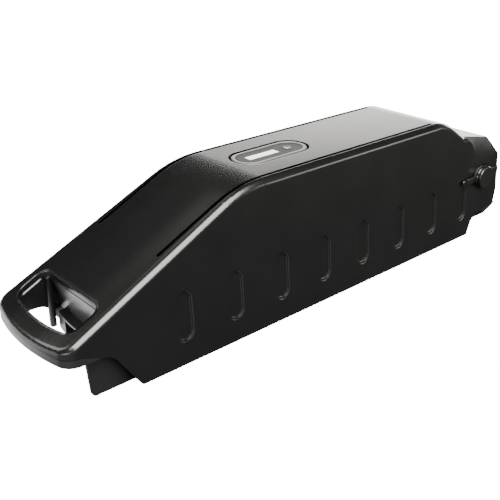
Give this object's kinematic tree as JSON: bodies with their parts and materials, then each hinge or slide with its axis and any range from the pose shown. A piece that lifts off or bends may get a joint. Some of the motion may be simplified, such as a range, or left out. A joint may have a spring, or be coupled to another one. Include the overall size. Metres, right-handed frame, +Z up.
{
  "type": "battery pack",
  "caption": "Down-tube battery pack with a ring handle, ribbed sloping case, display panel, capped side inlet, latch wall and rear blade connector.",
  "frame": {"origin": "middle of the underside, on the plane of the rail undersides", "axes": "+X along the pack from the handle to the connector end, +Z up, -Y the side with the charging inlet"},
  "size_m": [0.3964, 0.0878, 0.0955],
  "materials": {
    "case_plastic": "fine satin, moulded ABS and polycarbonate",
    "tray_plastic": "fine satin",
    "panel_ring": "satin grey",
    "panel_lens": "smooth",
    "window_white": "frosted light guide",
    "button_plastic": "smooth",
    "black_rubber": "glossy",
    "gasket_silicone": "matte",
    "holder_plastic": "matte",
    "cell_sleeve": "shrink sleeve",
    "nickel": "rolled nickel",
    "insulating_paper": "pressed fibre sheet",
    "foam": "closed-cell foam",
    "board": "solder mask",
    "chip": "moulded epoxy",
    "heatsink": "sawn",
    "header_white": "nylon",
    "led_green": "diffused",
    "brass_contact": "bright",
    "zinc_steel": "zinc plated",
    "connector_plastic": "glass-filled nylon",
    "red_lead": "silicone",
    "black_lead": "silicone",
    "fuse_glass": "ceramic"
  },
  "bodies": {
    "root": {"balance_harness": "black_lead", "balance_header": "header_white", "base_tray": "tray_plastic", "bms_board": "board", "bms_heatsink": "heatsink", "bms_mosfets": "chip", "case_gasket": "gasket_silicone", "case_screws": "zinc_steel", "cell_holder_left": "holder_plastic", "cell_holder_right": "holder_plastic", "cell_row_1": "cell_sleeve", "cell_row_2": "cell_sleeve", "cell_row_3": "cell_sleeve", "cell_row_4": "cell_sleeve", "charge_lead": "red_lead", "charge_pin": "brass_contact", "charge_socket": "connector_plastic", "charge_window": "window_white", "connector_screws": "zinc_steel", "discharge_connector": "connector_plastic", "discharge_contacts": "brass_contact", "display_board": "board", "display_lead": "black_lead", "display_leds": "led_green", "display_lens": "panel_lens", "foam_pads": "foam", "fuse_holder": "fuse_glass", "fuse_link": "brass_contact", "handle_band": "tray_plastic", "insulation_left": "insulating_paper", "insulation_right": "insulating_paper", "latch_striker": "zinc_steel", "negative_lead": "black_lead", "nickel_strips_left": "nickel", "nickel_strips_right": "nickel", "panel_bezel": "panel_ring", "positive_lead": "red_lead", "socket_nut": "zinc_steel", "socket_seal": "black_rubber", "strap_anchor": "black_rubber", "striker_screws": "zinc_steel", "tact_switch": "chip", "thermistor": "chip", "upper_case": "case_plastic"},
    "button": {"power_button": "button_plastic"},
    "cap": {"charge_cap": "black_rubber", "cap_strap": "black_rubber"}
  },
  "joints": [
    {"name": "power_button_press", "type": "slide", "parent": "root", "child": "button", "axis": [0, 0, -1], "range_m": [0, 0.0006], "stiffness_N_per_m": 400},
    {"name": "charge_cap_swing", "type": "hinge", "parent": "root", "child": "cap", "pos_m": [0.1512, -0.0415, 0.0445], "axis": [0, 0, -1], "range_deg": [0, 110]}
  ]
}
